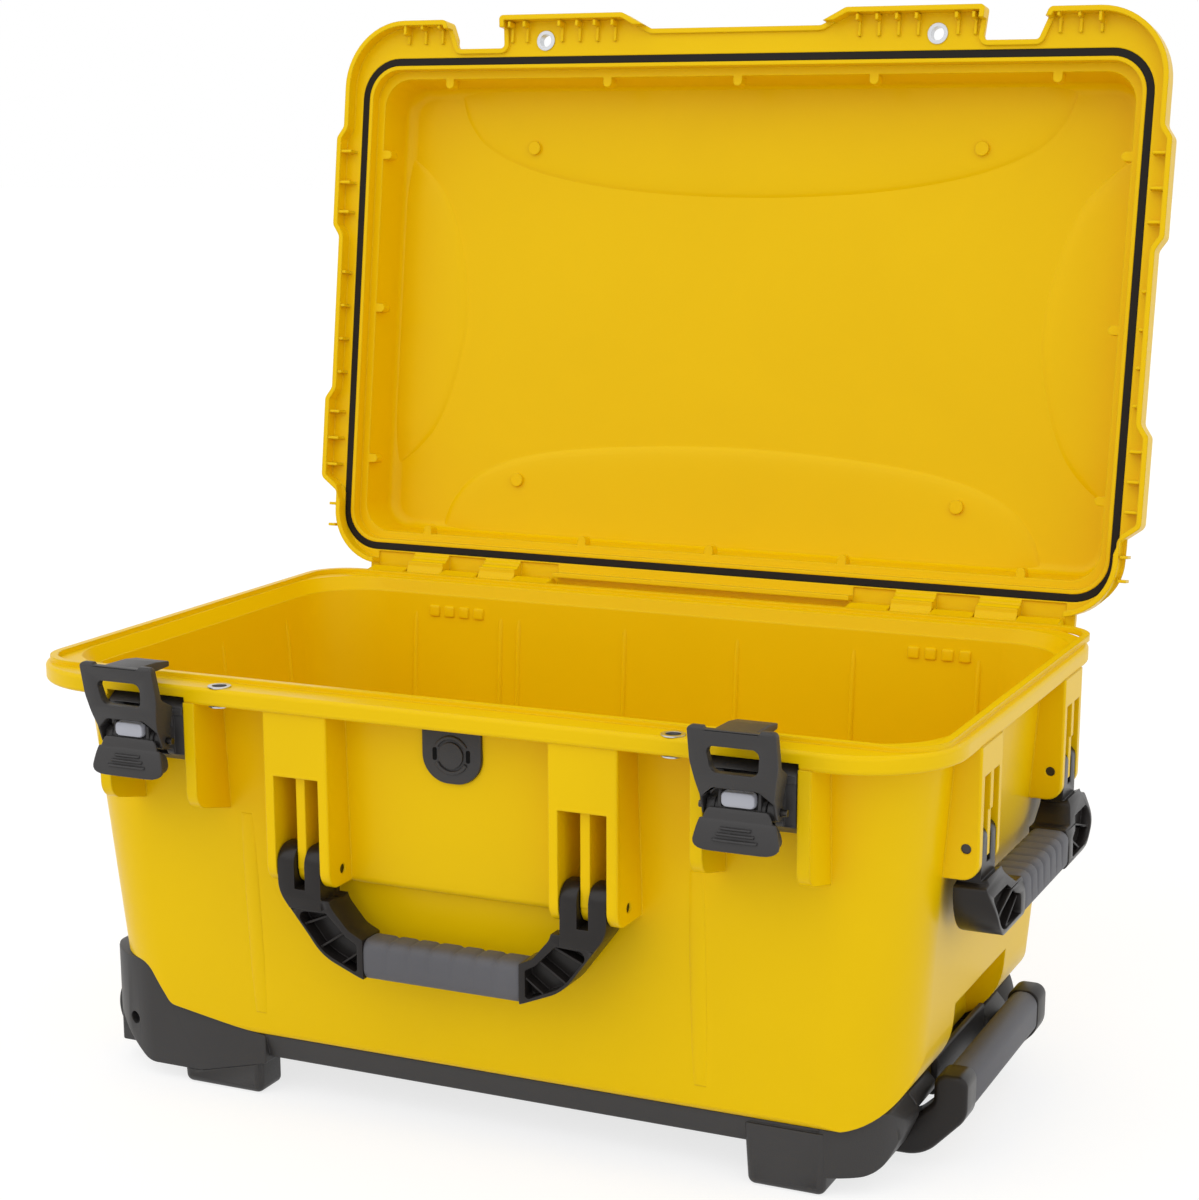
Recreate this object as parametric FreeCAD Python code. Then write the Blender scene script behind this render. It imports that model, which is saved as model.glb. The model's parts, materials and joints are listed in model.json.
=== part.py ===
import FreeCAD, Part
import math
import os

# Wheeled protective case with its lid open. Millimetres, X along the length,
# Y to the hinge side, Z up, floor at Z 0. Shapes are drawn about the tub's
# middle and moved by FRAME_Y when they are written.
V = FreeCAD.Vector
FRAME_Y = -42.0

# Tub: outer half sizes at mid height, draft of the walls, wall thickness
TUB_MID_Z = 150.0
TUB_HALF_X = 277.0
TUB_HALF_Y = 163.0
TUB_DRAFT = 0.07
TUB_CORNER_R = 50.0
TUB_BOTTOM_Z = 42.0
TUB_END_R = 44.0
TUB_SIDE_R = 5.0
WALL = 4.0
FLOOR_R = 22.0
MOUTH_HALF_X = 289.4

# Rim of the tub
RIM_LOW_Z = 267.0
RIM_TOP_Z = 278.0
RIM_HALF_X = 300.0
RIM_FRONT_Y = -202.0
RIM_BACK_Y = 187.0
RIM_CORNER_R = 62.0
TONGUE_HALF_X = 292.4
TONGUE_HALF_Y = 180.3
TONGUE_TOP_Z = 280.9

# Lid, drawn closed over the tub, with its hinge line and its opening angle
HINGE_Y = 201.3
HINGE_Z = 274.3
LID_OPEN_DEG = 98.2
SEAL_Z = 281.3
SEAL_HALF_X = 295.0
SEAL_HALF_Y = 180.7
SEAL_R = 27.0
LID_DEPTH = 44.8
LIP_DROP = 10.0
ROOF = 5.0

# Latches
LATCH_X = 196.0
LATCH_Y = -212.0
LATCH_Z = 246.0

# Carry handles: bracket spacing shared by all three
BRACKET_IN = 72.2
BRACKET_OUT = 115.7
SLOTS = ((78.5, 90.5), (96.5, 109.0))
RIB_NOSE_R = 10.5
FRONT_PIN_Y = -183.0
FRONT_PIN_Z = 170.5
FRONT_FACE_Y = -199.0
SIDE_PIN_X = 293.0
SIDE_PIN_Z = 208.7
SIDE_FACE_X = 300.7
PIN_R = 3.0

# Wheels and pull handle
WHEEL_X = -252.0
WHEEL_Y = 119.0
WHEEL_Z = 37.0
WHEEL_R = 28.0
WHEEL_W = 24.0
RAIL_Y = 80.0
RAIL_Z = 20.0
RAIL_R = 7.0

# Smaller sizes shared by several pieces
FRONT_BRACKET_LOW = 160.0
SIDE_BRACKET_LOW = 190.0
CHEEK_FACE_Y = -203.0
LATCH_BAY = 27.5
LATCH_PIN_R = 2.0
BASE_TOP_Z = 271.0
HINGE_X = 190.0
HINGE_PIN_R = 2.5
KNUCKLE_R = 6.5
STRIP_HALF_X = 272.0
TUB_KNUCKLES = ((-75.0, -45.3), (-14.7, 14.7), (45.3, 75.0))
LID_KNUCKLES = ((-44.7, -15.3), (15.3, 44.7))
EYELET_X = 147.5
EYELET_Y = -194.5
EYELET_R = 5.8
EYELET_HOLE_R = 4.5
VALVE_PANEL_Y = 176.0
VALVE_HALF_X = 19.4
NOTCH_W = 370.0
LIP_T = 3.5
LEDGE_D = 9.2
CATCH_Y = -184.8
CATCH_Z = 283.0
RIB_FRONT_X = (92.0, 106.0, 120.0, 134.0, 162.0, 174.0, 232.0, 246.0, 260.0)
RIB_END_W = (14.0, 30.0, 60.0, 80.0, 100.0, 130.0, 155.0, 180.0, 205.0, 250.0, 272.0, 295.0)
BOSS_ROW_X = (0.0, 101.1, 229.9)
BOSS_ROW_W = (14.4, 346.5)
BOSS_END_X = 279.9
BOSS_END_W = (66.0, 180.1, 294.6)
BOSS_R = 3.2
BOSS_L = 9.0
STUB_X = 172.3
STUB_W = (55.8, 303.9)
STUB_R = 5.0
GRIP_HALF_H = 12.5
SIDE_DROP = 44.0
FRONT_DROP = 51.0
GRIP_HALF_L = 51.9
FRONT_HANDLE = {
    "drop": FRONT_DROP, "back": 8.0, "front": -14.0, "clear": 18.0, "level": -16.8,
    "prong": (14.0, 8.0, -15.5, 11.0),
    "outer": [(108.4, -14, 20), (80, -52, 34)],
    "inner": [(61, -34, 10), (73, -20, 14)],
    "side": [(8, 20, 0), (-15.5, 20, 0), (-15.5, -18, 20), (-14, -40, 20), (-14, -66, 5), (8, -66, 5)],
    "pocket": [(76, -24.5, 3), (98.5, -25.5, 4), (79.5, -49.5, 28), (56, -60, 2), (56, -42, 2), (63, -38, 8)],
    "pocket_d": 10.0,
    "ribs": [(70, -24, 106, -40), (62, -34, 92, -54), (54, -46, 76, -62)]}
SIDE_HANDLE = {
    "drop": SIDE_DROP, "back": 7.0, "front": -19.0, "clear": 21.4, "level": -9.0,
    "prong": (10.0, 7.0, -7.2, 7.0),
    "outer": [(108.4, -21.4, 0), (115.5, -22.5, 2), (115.5, -56.5, 31)],
    "inner": [(64, -31.5, 8), (78, -22, 6)],
    "side": [(7, 20, 0), (-7.2, 20, 0), (-7.2, -10, 30), (-19, -38, 30), (-19, -58, 7), (7, -58, 7)],
    "pocket": [(80, -29, 2), (110, -29, 3), (110, -51, 18), (62, -51, 2), (62, -39, 2), (71, -36, 6)],
    "pocket_d": 7.0,
    "ribs": [(70, -32, 112, -44), (64, -40, 96, -56)]}
GROOVE_X = (-36.0, -22.0, -8.0, 8.0, 22.0, 36.0)
BASE_FRONT_Y = -152.0
BASE_TOP = 41.8
BASE_LOW = 25.0
FEET_X = ((-216.0, -155.0), (175.0, 226.0))
AXLE_R = 4.0
GUIDE_R = 8.5
ARM_START_X = 240.5


def outline(points, place):
    """Closed face through (a, b, r) points, each corner rounded by its r."""
    count = len(points)
    edges = []
    joints = []
    for i in range(count):
        a, b, r = points[i]
        here = V(a, b, 0)
        before = V(*points[i - 1][:2], 0) - here
        after = V(*points[(i + 1) % count][:2], 0) - here
        if r <= 0:
            joints.append((here, here, None))
            continue
        before.normalize()
        after.normalize()
        half = before.getAngle(after) / 2
        back = r / math.tan(half)
        bisector = before + after
        bisector.normalize()
        middle = here + bisector * (r / math.sin(half) - r)
        joints.append((here + before * back, here + after * back, middle))
    for i in range(count):
        start, end, middle = joints[i]
        if middle is not None:
            edges.append(Part.Arc(place(start), place(middle), place(end)).toShape())
        following = joints[(i + 1) % count][0]
        if (following - end).Length > 1e-6:
            edges.append(Part.makeLine(place(end), place(following)))
    return Part.Face(Part.Wire(edges))


def prism_z(points, low, high):
    """Outline in (x, y), standing from low to high."""
    return outline(points, lambda p: V(p.x, p.y, low)).extrude(V(0, 0, high - low))


def prism_y(points, low, high):
    """Outline in (x, z), run along Y."""
    return outline(points, lambda p: V(p.x, low, p.y)).extrude(V(0, high - low, 0))


def prism_x(points, low, high):
    """Outline in (y, z), run along X."""
    return outline(points, lambda p: V(low, p.x, p.y)).extrude(V(high - low, 0, 0))


def box(x, y, z):
    """Block between pairs of limits."""
    size = (x[1] - x[0], y[1] - y[0], z[1] - z[0])
    return Part.makeBox(*size, V(x[0], y[0], z[0]))


def rod(r, start, end):
    """Round bar from start to end."""
    axis = V(*end) - V(*start)
    return Part.makeCylinder(r, axis.Length, V(*start), axis)


def rectangle(half_x, front, back, r):
    """Corner points of a rounded rectangle."""
    return [(-half_x, front, r), (half_x, front, r), (half_x, back, r), (-half_x, back, r)]


def tapered(low, high, r):
    """Loft between rounded rectangles given as (half x, half y, z)."""
    wires = []
    for half_x, half_y, z in (low, high):
        face = outline(rectangle(half_x, -half_y, half_y, r), lambda p: V(p.x, p.y, z))
        wires.append(face.OuterWire)
    return Part.makeLoft(wires, True, True)


def fuse(shapes):
    """One solid from several that meet."""
    body = shapes[0]
    for shape in shapes[1:]:
        body = body.fuse(shape)
    return body.removeSplitter()


def cut(shape, tools):
    """The shape with every tool taken out."""
    return shape.cut(list(tools))


def mirror_x(shape):
    return shape.mirror(V(0, 0, 0), V(1, 0, 0))


def mirror_y(shape):
    return shape.mirror(V(0, 0, 0), V(0, 1, 0))


def both_x(shape):
    return [shape, mirror_x(shape)]


def both_y(shape):
    return [shape, mirror_y(shape)]


def edges_where(shape, test):
    """Edges whose middle passes the test."""
    return [e for e in shape.Edges if test(e.valueAt((e.FirstParameter + e.LastParameter) / 2))]


def wall_x(z):
    return TUB_HALF_X + TUB_DRAFT * (z - TUB_MID_Z)


def wall_y(z):
    return TUB_HALF_Y + TUB_DRAFT * (z - TUB_MID_Z)


def low_edge(half, z, r):
    """Middle of the round along a drafted wall's low edge, and the corner to take off, in (across, z)."""
    lean = math.atan(TUB_DRAFT)
    middle = half + r * math.tan(lean) - r / math.cos(lean)
    top = z + r * (1 - math.sin(lean))
    corner = [(middle, z - 1, 0), (half + 20, z - 1, 0), (half + 20, top, 0), (middle, top, 0)]
    return middle, corner


def drafted(low, high, corner_r, end_r, side_r):
    """Tapered body with its low edges rounded along the ends and the sides."""
    body = tapered(low, high, corner_r)
    reach = 400.0
    z = low[2]
    middle, corner = low_edge(low[0], z, end_r)
    bar = rod(end_r - 0.02, (middle, -reach, z + end_r), (middle, reach, z + end_r))
    end = prism_y(corner, -reach, reach).cut(bar)
    middle, corner = low_edge(low[1], z, side_r)
    bar = rod(side_r - 0.02, (-reach, middle, z + side_r), (reach, middle, z + side_r))
    side = prism_x(corner, -reach, reach).cut(bar)
    return cut(body, both_x(end) + both_y(side))


def tub_form(grow):
    """Outer body of the tub, grown by a little for the pieces that lie against it."""
    low = (wall_x(TUB_BOTTOM_Z) + grow, wall_y(TUB_BOTTOM_Z) + grow, TUB_BOTTOM_Z)
    high = (wall_x(RIM_TOP_Z) + grow, wall_y(RIM_TOP_Z) + grow, RIM_TOP_Z)
    return drafted(low, high, TUB_CORNER_R, TUB_END_R, TUB_SIDE_R)


def pull_pocket(grow):
    """Finger pocket behind the pull bar, right-hand end."""
    half = 56.0 + grow
    back = 248.0 - grow
    profile = [(back, 20, 0), (back, 70 + grow, 12), (270, 94 + grow, 0), (320, 94 + grow, 0), (320, 20, 0)]
    return prism_y(profile, -half, half)


def wheel_arch(grow):
    """Arch over the front-left wheel housing: high over the wheel, then a steep drop and a slow run-out."""
    out_x = -150.0 + grow
    out_z = TUB_BOTTOM_Z - 0.5 + 0.9 * grow
    profile = [(-320, 20, 0), (-320, 80 + grow, 0), (-236 + grow, 80 + grow, 14),
               (-219 + grow, 53.5 + 0.9 * grow, 8), (out_x, out_z, 0), (out_x, 20, 0)]
    drum = wheel_drum(WHEEL_R + 6.4 + grow, WHEEL_W / 2 + 5 + grow)
    return prism_y(profile, -240, -98.0 + grow).fuse(drum)


def wheel_drum(r, half_width):
    """Round space about the front-left wheel."""
    return rod(r, (WHEEL_X, -WHEEL_Y - half_width, WHEEL_Z), (WHEEL_X, -WHEEL_Y + half_width, WHEEL_Z))


def rim_ring():
    """Flat ledge round the mouth of the tub."""
    points = rectangle(RIM_HALF_X, RIM_FRONT_Y, RIM_BACK_Y, RIM_CORNER_R)
    ring = prism_z(points, RIM_LOW_Z, RIM_TOP_Z)
    front = edges_where(ring, lambda p: abs(p.z - RIM_TOP_Z) < 0.01 or abs(p.z - RIM_LOW_Z) < 0.01)
    return ring.makeFillet(2.5, front)


def tongue():
    """Raised bead that meets the lid's seal."""
    outer = prism_z(rectangle(TONGUE_HALF_X + 2.5, -TONGUE_HALF_Y - 2.5, TONGUE_HALF_Y + 2.5, 30),
                    RIM_TOP_Z - 1, TONGUE_TOP_Z)
    inner = prism_z(rectangle(TONGUE_HALF_X - 2.5, -TONGUE_HALF_Y + 2.5, TONGUE_HALF_Y - 2.5, 25),
                    RIM_TOP_Z - 2, TONGUE_TOP_Z + 1)
    return outer.cut(inner)


def cavity():
    """Space inside the tub, kept clear of the wheel arches and the finger pocket."""
    floor = TUB_BOTTOM_Z + WALL
    low = (wall_x(floor) - WALL, wall_y(floor) - WALL, floor)
    high = (wall_x(RIM_TOP_Z) - WALL, wall_y(RIM_TOP_Z) - WALL, RIM_TOP_Z + 10)
    space = drafted(low, high, TUB_CORNER_R - WALL, TUB_END_R - WALL, FLOOR_R)
    flare_z = RIM_LOW_Z + 2
    flare = tapered((wall_x(flare_z) - WALL, wall_y(flare_z) - WALL, flare_z),
                    (MOUTH_HALF_X, wall_y(RIM_TOP_Z) - 1, RIM_TOP_Z + 3), TUB_CORNER_R - WALL)
    return cut(space, both_y(wheel_arch(WALL)) + [pull_pocket(WALL)]).fuse(flare)


def bracket(face, wall_high, wall_low, low_z, nose_r):
    """Handle bracket in (depth, z), drawn as on the front wall, with its two prong slots."""
    profile = [(wall_high, RIM_LOW_Z + 1, 0), (face, RIM_LOW_Z + 1, 0), (face, low_z, nose_r),
               (wall_low, low_z, 0)]
    body = prism_x(profile, BRACKET_IN, BRACKET_OUT)
    rounded = edges_where(body, lambda p: abs(p.y - face) < 0.01 and abs(p.z - RIM_LOW_Z) > 2)
    return body.makeFillet(1.5, [e for e in rounded if e.Length > 20])


def bracket_slots(face, back_low, back_high, low_z, top_z):
    """Slots that the handle's prongs swing in."""
    tools = []
    for start, end in SLOTS:
        profile = [(face - 5, low_z - 5, 0), (back_low, low_z - 5, 0), (back_high, top_z, 0),
                   (face - 5, top_z, 3)]
        tools.append(prism_x(profile, start, end))
    return tools


def rib_nose(face, pin, recess):
    """Waste round the lower end of the rib between the slots, which ends in a nose about the pin."""
    y, z = pin
    rib = (SLOTS[0][1] - 1, SLOTS[1][0] + 1)
    block = box(rib, (face - 5, y + RIB_NOSE_R), (z - 30, z))
    nose = rod(RIB_NOSE_R, (rib[0], y, z), (rib[1], y, z))
    front = box(rib, (face - 5, face + recess), (z - 30, RIM_LOW_Z - 39))
    return block.cut(nose).fuse(front)


def front_brackets():
    body = bracket(FRONT_FACE_Y, -wall_y(RIM_LOW_Z) + 2, -wall_y(FRONT_BRACKET_LOW) + 2,
                   FRONT_BRACKET_LOW, 12.0)
    slots = bracket_slots(FRONT_FACE_Y, -wall_y(FRONT_BRACKET_LOW) - 0.3, -wall_y(228.0) - 0.3,
                          FRONT_BRACKET_LOW, 228.0)
    pin = rod(PIN_R + 0.05, (BRACKET_IN - 1, FRONT_PIN_Y, FRONT_PIN_Z), (BRACKET_OUT + 1, FRONT_PIN_Y,
                                                                         FRONT_PIN_Z))
    nose = rib_nose(FRONT_FACE_Y, (FRONT_PIN_Y, FRONT_PIN_Z), 5.0)
    return both_x(cut(body, slots + [pin, nose]))


def side_brackets():
    """Brackets of the right end, turned from the front wall's drawing."""
    top = 250.0
    body = bracket(-SIDE_FACE_X, -wall_x(RIM_LOW_Z) + 2, -wall_x(SIDE_BRACKET_LOW) + 2, SIDE_BRACKET_LOW,
                   10.0)
    slots = bracket_slots(-SIDE_FACE_X, -wall_x(SIDE_BRACKET_LOW) - 0.3, -wall_x(top) - 0.3,
                          SIDE_BRACKET_LOW, top)
    pin = rod(PIN_R + 0.05, (BRACKET_IN - 1, -SIDE_PIN_X, SIDE_PIN_Z), (BRACKET_OUT + 1, -SIDE_PIN_X,
                                                                        SIDE_PIN_Z))
    nose = rib_nose(-SIDE_FACE_X, (-SIDE_PIN_X, SIDE_PIN_Z), 1.0)
    shape = cut(body, slots + [pin, nose])
    shape.rotate(V(0, 0, 0), V(0, 0, 1), 90)
    return both_y(shape)


def latch_cheeks():
    """Walls either side of a latch, right-hand latch."""
    profile = [(-165, RIM_LOW_Z + 1, 0), (CHEEK_FACE_Y, RIM_LOW_Z + 1, 0), (CHEEK_FACE_Y, 203, 12),
               (-165, 194, 0)]
    inner = prism_x(profile, LATCH_X - 35.0, LATCH_X - LATCH_BAY)
    outer = prism_x(profile, LATCH_X + LATCH_BAY, LATCH_X + 35.0)
    return [inner, outer]


def latch_bay():
    """Notch in the rim behind a latch, right-hand latch."""
    half = LATCH_BAY
    return box((LATCH_X - half, LATCH_X + half), (RIM_FRONT_Y - 5, -172.5), (226, BASE_TOP_Z + 0.2))


def hinge_spans(spans):
    """Spans of the knuckles of both hinge groups along X."""
    found = []
    for centre in (-HINGE_X, HINGE_X):
        for low, high in spans:
            found.append((centre + low, centre + high))
    return found


def tub_knuckle(low, high):
    arm = prism_x([(RIM_BACK_Y - 4, RIM_LOW_Z + 1, 0), (RIM_BACK_Y - 4, RIM_TOP_Z, 0),
                   (HINGE_Y, HINGE_Z + 6.4, 0),
                   (HINGE_Y, HINGE_Z - 6.4, 0)], low, high)
    barrel = rod(KNUCKLE_R, (low, HINGE_Y, HINGE_Z), (high, HINGE_Y, HINGE_Z))
    return arm.fuse(barrel)


def eyelet_at(x, y, low, high):
    """Bore that takes a padlock eyelet."""
    return rod(EYELET_R + 0.05, (x, y, low), (x, y, high))


def tub_shell():
    panel = prism_x([(-164, RIM_LOW_Z + 1, 0), (-VALVE_PANEL_Y, RIM_LOW_Z + 1, 0), (-172.5, 160, 5),
                     (-161, 156, 0)],
                    -BRACKET_IN - 0.5, BRACKET_IN + 0.5)
    added = [rim_ring(), tongue(), panel]
    added += front_brackets()
    added += side_brackets()
    for shape in latch_cheeks():
        added += both_x(shape)
    added += [tub_knuckle(low, high) for low, high in hinge_spans(TUB_KNUCKLES)]
    body = fuse([tub_form(0)] + added)
    taken = [cavity(), pull_pocket(0)]
    taken += both_y(wheel_arch(0))
    taken += both_x(latch_bay())
    taken += both_x(eyelet_at(EYELET_X, EYELET_Y, RIM_LOW_Z - 1, TONGUE_TOP_Z + 5))
    taken.append(rod(HINGE_PIN_R + 0.05, (-RIM_HALF_X, HINGE_Y, HINGE_Z), (RIM_HALF_X, HINGE_Y, HINGE_Z)))
    taken.append(valve_body(0.05))
    return cut(body, taken)


def valve_body(grow):
    """Shield-shaped plate of the pressure valve with its stub through the wall."""
    half = VALVE_HALF_X + grow
    low = 229.5 - grow
    plate = prism_y([(-half, 262 + grow, 2), (half, 262 + grow, 2), (half, low, 17), (-half, low, 17)],
                    -VALVE_PANEL_Y - 1.6, -VALVE_PANEL_Y + 3)
    stub = rod(9.0 + grow, (0, -VALVE_PANEL_Y + 2, 247), (0, -160, 247))
    return plate.fuse(stub)


def valve_cap():
    """Raised round vent cap on the valve plate."""
    return rod(8.0, (0, -VALVE_PANEL_Y - 3.2, 247), (0, -VALVE_PANEL_Y - 1.6, 247))


def across(w):
    """Y of a place on the closed lid that lies w in front of the seal's hinge side."""
    return SEAL_HALF_Y - w


def flange_points():
    """Outline of the lid's flange: side bulges, latch notches and eyelet blocks."""
    right = [(300, -13, 40), (300, 40, 4), (313.5, 50, 6), (313.5, 110, 6), (308, 118, 6), (308, 232, 6),
             (313.5, 240, 6), (313.5, 305, 6), (308, 313, 6), (308, 390, 48), (226, 390, 4),
             (218, NOTCH_W, 3), (180, NOTCH_W, 3), (182, 392.5, 3), (84, 392.5, 6), (64, 382, 6)]
    half = [(x, across(w), r) for x, w, r in right]
    return half + [(-x, y, r) for x, y, r in reversed(half)]


def lid_flange():
    """Channel open towards the tub, with a lip round its edge and cross ribs."""
    roof = prism_z(flange_points(), SEAL_Z, SEAL_Z + ROOF)
    skirt = prism_z(flange_points(), SEAL_Z - LIP_DROP, SEAL_Z)
    edge = outline(flange_points(), lambda p: V(p.x, p.y, SEAL_Z - LIP_DROP - 1))
    hollow = edge.makeOffset2D(-LIP_T).extrude(V(0, 0, LIP_DROP + 1))
    return [roof, skirt.cut(hollow)]


def flange_ribs():
    """Cross ribs of the flange channel along the front and the two ends."""
    shapes = []
    front = [(across(388), SEAL_Z - 9, 0), (across(374), SEAL_Z - 9, 0), (across(374), SEAL_Z + 1, 0),
             (across(388), SEAL_Z + 1, 0)]
    for x in RIB_FRONT_X:
        shapes += both_x(prism_x(front, x - 1, x + 1))
    for w in RIB_END_W:
        reach = 311.0 if (54 < w < 106 or 244 < w < 301) else 306.0
        shapes += both_x(box((300.5, reach), (across(w) - 1, across(w) + 1), (SEAL_Z - 9, SEAL_Z + 1)))
    return shapes


def lid_knuckle(low, high):
    arm = prism_x([(RIM_BACK_Y - 2, SEAL_Z, 0), (RIM_BACK_Y - 2, SEAL_Z + ROOF, 0),
                   (HINGE_Y + 1, HINGE_Z + 6.2, 0),
                   (HINGE_Y, HINGE_Z - 6.4, 0), (HINGE_Y - 8, HINGE_Z - 3, 0)], low, high)
    barrel = rod(KNUCKLE_R, (low, HINGE_Y, HINGE_Z), (high, HINGE_Y, HINGE_Z))
    return arm.fuse(barrel)


def seal_ring(half_width, low, high):
    """Closed ring along the seal's centre line."""
    outer = prism_z(rectangle(SEAL_HALF_X + half_width, -SEAL_HALF_Y - half_width, SEAL_HALF_Y + half_width,
                              SEAL_R + half_width), low, high)
    inner = prism_z(rectangle(SEAL_HALF_X - half_width, -SEAL_HALF_Y + half_width, SEAL_HALF_Y - half_width,
                              SEAL_R - half_width), low - 1, high + 1)
    return outer.cut(inner)


def lid_bosses():
    """Screw posts along the inside wall, each on a short web, and four stubs on the ceiling."""
    ceiling = SEAL_Z + LID_DEPTH
    low = SEAL_Z + LEDGE_D
    span = (low, low + BOSS_L)
    shapes = []
    for x in sorted(set(BOSS_ROW_X) | {-x for x in BOSS_ROW_X}):
        for w, out in zip(BOSS_ROW_W, (8.0, -8.0)):
            y = across(w)
            shapes.append(rod(BOSS_R, (x, y, span[0]), (x, y, span[1])))
            shapes.append(box((x - BOSS_R, x + BOSS_R), (min(y, y + out), max(y, y + out)), span))
    for w in BOSS_END_W:
        y = across(w)
        post = rod(BOSS_R, (BOSS_END_X, y, span[0]), (BOSS_END_X, y, span[1]))
        web = box((BOSS_END_X, BOSS_END_X + 8), (y - BOSS_R, y + BOSS_R), span)
        shapes += both_x(post) + both_x(web)
    for x in (-STUB_X, STUB_X):
        for w in STUB_W:
            shapes.append(rod(STUB_R, (x, across(w), ceiling - 5), (x, across(w), ceiling + 2)))
    return shapes


def lid_closed():
    """Lid shell over the closed tub."""
    top = SEAL_Z + LID_DEPTH + WALL
    ceiling = SEAL_Z + LID_DEPTH
    outer = tapered((SEAL_HALF_X + 8, SEAL_HALF_Y + 8, SEAL_Z), (SEAL_HALF_X - 2, SEAL_HALF_Y - 2, top),
                    SEAL_R + 8)
    outer = outer.makeFillet(12, edges_where(outer, lambda p: abs(p.z - top) < 0.01))
    mouth = prism_z(rectangle(SEAL_HALF_X - 5.5, -SEAL_HALF_Y + 5.5, SEAL_HALF_Y - 5.5, SEAL_R - 5),
                    SEAL_Z - 1,
                    SEAL_Z + LEDGE_D)
    hollow = tapered((SEAL_HALF_X - 10.5, SEAL_HALF_Y - 10.5, SEAL_Z),
                     (SEAL_HALF_X - 14, SEAL_HALF_Y - 14, ceiling),
                     SEAL_R - 6)
    hollow = hollow.makeFillet(8, edges_where(hollow, lambda p: abs(p.z - ceiling) < 0.01))
    inside = mouth.fuse(hollow)
    body = fuse([outer] + lid_flange())
    body = fuse([body.cut(inside)] + flange_ribs())
    posts = [post.common(inside) for post in lid_bosses()]
    strip = box((-STRIP_HALF_X, STRIP_HALF_X), (RIM_BACK_Y + 3, HINGE_Y + 1.2), (SEAL_Z, SEAL_Z + ROOF))
    knuckles = [lid_knuckle(low, high) for low, high in hinge_spans(LID_KNUCKLES)]
    body = fuse([body, strip] + posts + knuckles)
    rim = rectangle(RIM_HALF_X + 1.2, RIM_FRONT_Y - 1.2, RIM_BACK_Y + 1.2, RIM_CORNER_R + 1)
    taken = [prism_z(rim, RIM_LOW_Z - 20, RIM_TOP_Z + 1), seal_ring(2.7, SEAL_Z - 1, SEAL_Z + 6)]
    for low, high in hinge_spans(TUB_KNUCKLES):
        taken.append(box((low - 0.6, high + 0.6), (RIM_BACK_Y - 2.5, HINGE_Y + 15),
                         (RIM_LOW_Z - 10, SEAL_Z + 1.5)))
    taken += both_x(box((LATCH_X - 20, LATCH_X + 25), (RIM_FRONT_Y - 20, CATCH_Y), (CATCH_Z, CATCH_Z + 30)))
    taken += both_x(eyelet_at(EYELET_X, EYELET_Y, SEAL_Z - 20, SEAL_Z + 12))
    taken.append(rod(HINGE_PIN_R + 0.05, (-RIM_HALF_X, HINGE_Y, HINGE_Z), (RIM_HALF_X, HINGE_Y, HINGE_Z)))
    return body.cut(taken)


def opened(shape):
    """A lid piece swung back to the photographed angle."""
    turned = shape.copy()
    turned.rotate(V(0, HINGE_Y, HINGE_Z), V(1, 0, 0), -LID_OPEN_DEG)
    return turned


def eyelet(low, high):
    """Pressed steel eyelet with a flange at each end."""
    body = rod(EYELET_R, (EYELET_X, EYELET_Y, low), (EYELET_X, EYELET_Y, high))
    for z in (low - 0.8, high):
        body = body.fuse(rod(EYELET_R + 1.3, (EYELET_X, EYELET_Y, z), (EYELET_X, EYELET_Y, z + 0.8)))
    return body.cut(eyelet_hole(low - 2, high + 2)).removeSplitter()


def eyelet_hole(low, high):
    return rod(EYELET_HOLE_R, (EYELET_X, EYELET_Y, low), (EYELET_X, EYELET_Y, high))


def latch_base():
    """Block between the cheeks with two ears for the pivot pin, right-hand latch."""
    half = LATCH_BAY - 0.5
    profile = [(-172.6, BASE_TOP_Z, 0), (-193, BASE_TOP_Z, 0), (-204, 264, 4), (-204, 236, 5), (-188, 228, 4),
               (-166, 232, 0), (-166, 262, 0), (-172.6, 266, 0)]
    block = prism_x(profile, LATCH_X - half, LATCH_X + half).cut(tub_form(0.05))
    ears = []
    for low in (-20.0, 15.0):
        ear = prism_x([(-195, 255, 0), (LATCH_Y - 3, LATCH_Z + 5, 3), (LATCH_Y - 5, LATCH_Z, 3),
                       (LATCH_Y - 3, LATCH_Z - 5, 3), (-195, 237, 0)], LATCH_X + low, LATCH_X + low + 5)
        ears.append(ear)
    well = box((LATCH_X - 15, LATCH_X + 15), (-225, -192), (LATCH_Z - 12, LATCH_Z + 18))
    side_wells = [box((LATCH_X + a, LATCH_X + b), (-225, -202), (LATCH_Z - 10, LATCH_Z + 14))
                  for a, b in ((-27.5, -20), (20, 27.5))]
    body = fuse([cut(block, [well] + side_wells)] + ears)
    return cut(body, [latch_pin_hole()])


def latch_pin_hole():
    return rod(LATCH_PIN_R + 0.05, (LATCH_X - 40, LATCH_Y, LATCH_Z), (LATCH_X + 40, LATCH_Y, LATCH_Z))


def latch_pin():
    return rod(LATCH_PIN_R, (LATCH_X - 25.5, LATCH_Y, LATCH_Z), (LATCH_X + 25.5, LATCH_Y, LATCH_Z))


def hourglass(rows):
    """Mirrored front outline from (half width, z, r) rows."""
    right = [(LATCH_X + half, z, r) for half, z, r in rows]
    left = [(LATCH_X - half, z, r) for half, z, r in reversed(rows)]
    return right + left


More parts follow.
